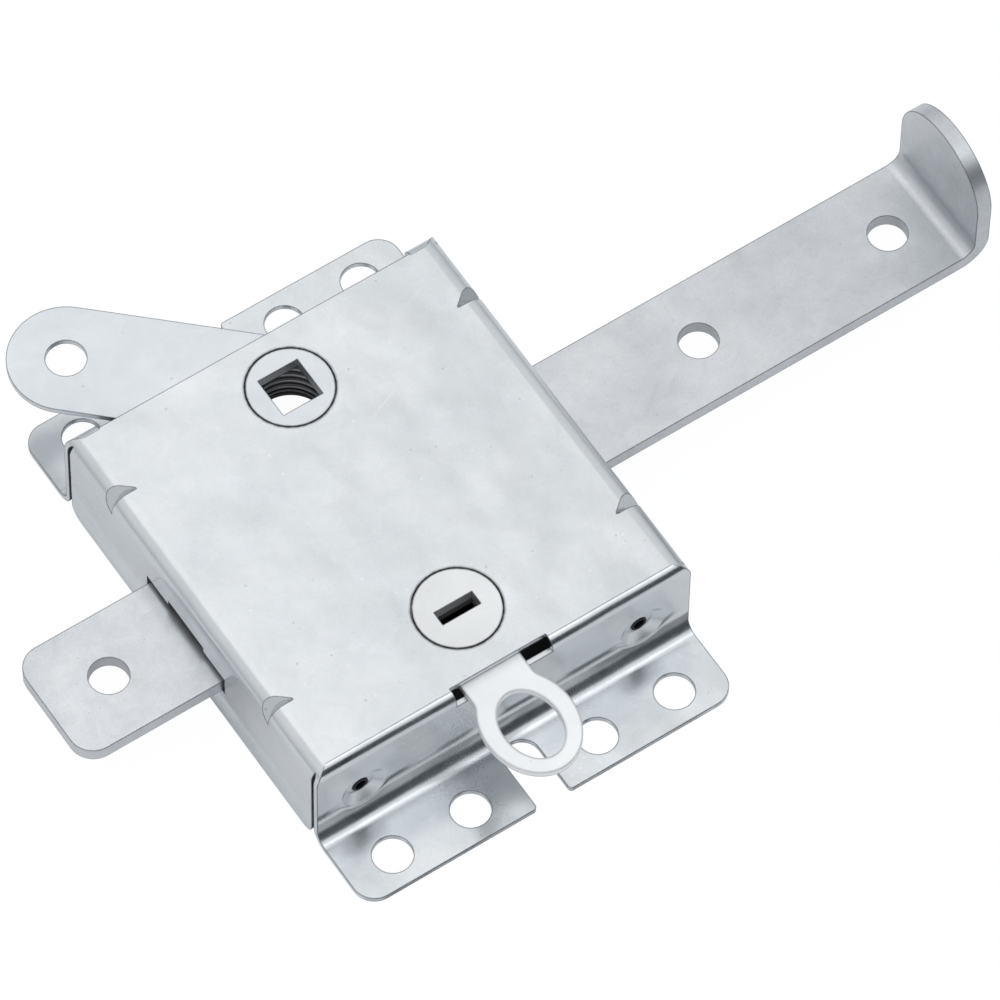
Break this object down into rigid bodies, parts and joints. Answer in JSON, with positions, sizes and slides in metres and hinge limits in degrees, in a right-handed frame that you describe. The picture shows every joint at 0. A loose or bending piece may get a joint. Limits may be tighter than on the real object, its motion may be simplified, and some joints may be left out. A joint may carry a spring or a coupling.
{
  "type": "slide lock",
  "caption": "slide lock for a sectional door: folded steel case on two flanges, flat sliding bolt with a bent thumb tab, spindle lever, pull ring and key cam",
  "frame": {"origin": "centre of the four outer fixing holes, on the underside of the flanges", "axes": "+X along the bolt towards its thumb tab, +Y to the lever side of the case, +Z out of the case's outer face"},
  "size_m": [0.2051, 0.1362, 0.0387],
  "materials": {
    "case_plate": "satin",
    "bolt_plate": "satin",
    "lever_plate": "satin",
    "ring_plate": "satin",
    "cam_plate": "satin",
    "inner_plate": "satin",
    "rivet_steel": "satin",
    "spring_steel": "satin"
  },
  "bodies": {
    "case": {"case_shell": "case_plate", "back_plate": "inner_plate", "hub_bracket": "inner_plate", "guide_bridge": "inner_plate", "stop_pin": "rivet_steel", "spring_post": "rivet_steel", "torsion_spring": "spring_steel", "hub_bracket_rivet_1": "rivet_steel", "hub_bracket_rivet_2": "rivet_steel", "hub_bracket_rivet_3": "rivet_steel", "hub_bracket_rivet_4": "rivet_steel", "guide_bridge_rivet_1": "rivet_steel", "guide_bridge_rivet_2": "rivet_steel", "guide_bridge_rivet_3": "rivet_steel", "guide_bridge_rivet_4": "rivet_steel"},
    "bolt": {"slide_bolt": "bolt_plate"},
    "lever": {"spindle_lever": "lever_plate", "drive_stud": "rivet_steel"},
    "slider": {"ring_slider": "ring_plate"},
    "cam": {"key_cam": "cam_plate"}
  },
  "joints": [
    {"name": "bolt_slide", "type": "slide", "parent": "case", "child": "bolt", "axis": [-1, 0, 0], "range_m": [0, 0.03244]},
    {"name": "lever_turn", "type": "hinge", "parent": "case", "child": "lever", "pos_m": [0, 0.0297, 0.0223], "axis": [0, 0, 1], "range_deg": [-85.1, 0], "deforming": ["torsion_spring"]},
    {"name": "ring_slide", "type": "slide", "parent": "case", "child": "slider", "axis": [0, 1, 0], "range_m": [0, 0.0056]},
    {"name": "key_turn", "type": "hinge", "parent": "case", "child": "cam", "pos_m": [0, -0.0275, 0.0223], "axis": [0, 0, 1], "range_deg": [0, 46.1]}
  ],
  "couplings": [
    {"joint": "lever_turn", "follows": "bolt_slide", "rad_per_m": -45.731},
    {"joint": "key_turn", "follows": "ring_slide", "rad_per_m": 143.37}
  ]
}
